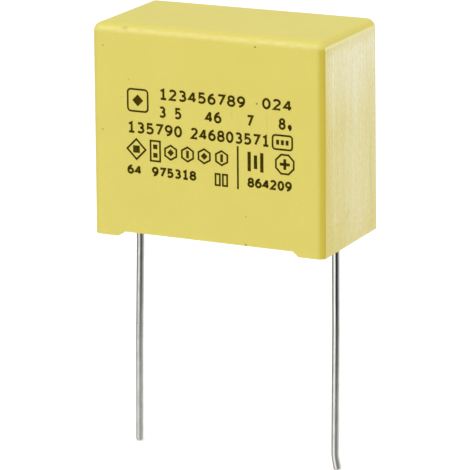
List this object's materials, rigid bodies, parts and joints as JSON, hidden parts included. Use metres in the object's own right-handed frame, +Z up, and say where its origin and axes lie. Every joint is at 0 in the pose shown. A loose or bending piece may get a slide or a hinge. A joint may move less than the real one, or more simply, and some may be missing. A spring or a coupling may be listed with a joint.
{
  "type": "box film capacitor",
  "caption": "Radial film capacitor in a moulded box case on end feet, potted from below, with straight wire leads for through-hole mounting.",
  "frame": {"origin": "middle of the seating plane, in the plane of the feet and midway between the leads", "axes": "+Z up through the case away from the board, X along the row of leads, printed front to -Y"},
  "size_m": [0.026, 0.0138, 0.0468],
  "materials": {
    "case_plastic": "satin",
    "resin": "satin",
    "metallised_film": "satin",
    "bare_film": "gloss",
    "sprayed_metal": "matte",
    "tinned_wire": "satin"
  },
  "bodies": {
    "root": {"case": "case_plastic", "potting_resin": "resin", "film_winding": "metallised_film", "outer_wrap": "bare_film", "end_contact_left": "sprayed_metal", "end_contact_right": "sprayed_metal", "lead_left": "tinned_wire", "lead_right": "tinned_wire"}
  },
  "joints": []
}
